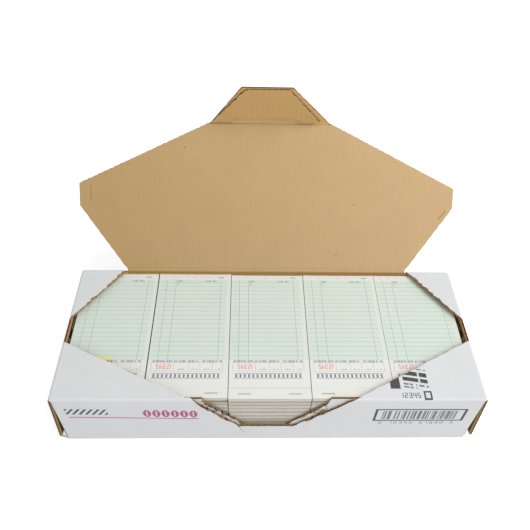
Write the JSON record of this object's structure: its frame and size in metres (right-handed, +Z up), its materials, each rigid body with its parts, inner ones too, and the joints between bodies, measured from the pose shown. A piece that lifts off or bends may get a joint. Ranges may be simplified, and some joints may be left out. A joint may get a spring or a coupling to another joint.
{
  "type": "carton of guest check pads",
  "caption": "Low corrugated carton with a tear-out hinged lid and a front dip, filled with stacks of stapled two-part check pads lying flat.",
  "frame": {"origin": "centre of the carton's underside, which lies on the surface", "axes": "+X along the carton to the viewer's right, +Y towards its rear wall and lid hinge, +Z up"},
  "size_m": [0.4722, 0.2965, 0.2829],
  "materials": {
    "white_board": "matte",
    "kraft_board": "matte",
    "pad_paper": "matte",
    "check_paper": "matte",
    "duplicate_paper": "matte",
    "chipboard": "matte",
    "staple_wire": "satin"
  },
  "bodies": {
    "carton": {"bottom_panel": "white_board", "rear_panel": "white_board", "front_panel_outer": "white_board", "front_panel_inner": "kraft_board", "top_front_left_corner": "white_board", "top_front_right_corner": "white_board", "top_rear_left_corner": "white_board", "top_rear_right_corner": "white_board", "left_front_dust_flap": "kraft_board", "left_rear_dust_flap": "kraft_board", "left_lower_flap": "white_board", "left_upper_flap": "white_board", "right_front_dust_flap": "kraft_board", "right_rear_dust_flap": "kraft_board", "right_lower_flap": "white_board", "right_upper_flap": "white_board", "stack_1_lower_pads": "pad_paper", "stack_1_top_pad_backing_board": "chipboard", "stack_1_top_pad_sheets": "check_paper", "stack_1_top_pad_left_staple": "staple_wire", "stack_1_top_pad_right_staple": "staple_wire", "stack_2_lower_pads": "pad_paper", "stack_2_top_pad_backing_board": "chipboard", "stack_2_top_pad_sheets": "check_paper", "stack_2_top_pad_left_staple": "staple_wire", "stack_2_top_pad_right_staple": "staple_wire", "stack_4_lower_pads": "pad_paper", "stack_4_top_pad_backing_board": "chipboard", "stack_4_top_pad_sheets": "check_paper", "stack_4_top_pad_left_staple": "staple_wire", "stack_4_top_pad_right_staple": "staple_wire", "stack_5_lower_pads": "pad_paper", "stack_5_top_pad_backing_board": "chipboard", "stack_5_top_pad_sheets": "check_paper", "stack_5_top_pad_left_staple": "staple_wire", "stack_5_top_pad_right_staple": "staple_wire", "centre_pad_1": "pad_paper", "centre_pad_2": "pad_paper", "centre_pad_3": "pad_paper", "centre_pad_4": "pad_paper", "centre_pad_5": "pad_paper", "centre_pad_6": "pad_paper", "centre_pad_7": "pad_paper", "centre_pad_8": "pad_paper", "centre_pad_9": "pad_paper"},
    "lid": {"lid_panel": "kraft_board"},
    "lid_tab": {"lid_tab": "kraft_board", "lid_tab_liner": "kraft_board"},
    "centre_pad": {"centre_top_pad_backing_board": "chipboard", "centre_top_pad_sheets": "check_paper", "centre_top_pad_left_staple": "staple_wire", "centre_top_pad_right_staple": "staple_wire"},
    "duplicate_leaf": {"centre_duplicate_leaf": "duplicate_paper"},
    "check_leaf": {"centre_check_leaf": "check_paper"}
  },
  "joints": [
    {"name": "lid_hinge", "type": "hinge", "parent": "carton", "child": "lid", "pos_m": [0, 0.09062, 0.0886], "axis": [-1, 0, 0], "range_deg": [-129.5, 50.5]},
    {"name": "tab_hinge", "type": "hinge", "parent": "lid", "child": "lid_tab", "pos_m": [0, 0.20591, 0.22846], "axis": [-1, 0, 0], "range_deg": [-37, 53]},
    {"name": "centre_pad_lift", "type": "slide", "parent": "carton", "child": "centre_pad", "axis": [0, 0, 1], "range_m": [0, 0.09]},
    {"name": "duplicate_flip", "type": "hinge", "parent": "centre_pad", "child": "duplicate_leaf", "pos_m": [0, -0.07212, 0.08125], "axis": [1, 0, 0], "range_deg": [0, 85]},
    {"name": "check_flip", "type": "hinge", "parent": "duplicate_leaf", "child": "check_leaf", "pos_m": [0, -0.07212, 0.08125], "axis": [1, 0, 0], "range_deg": [0, 85]}
  ]
}
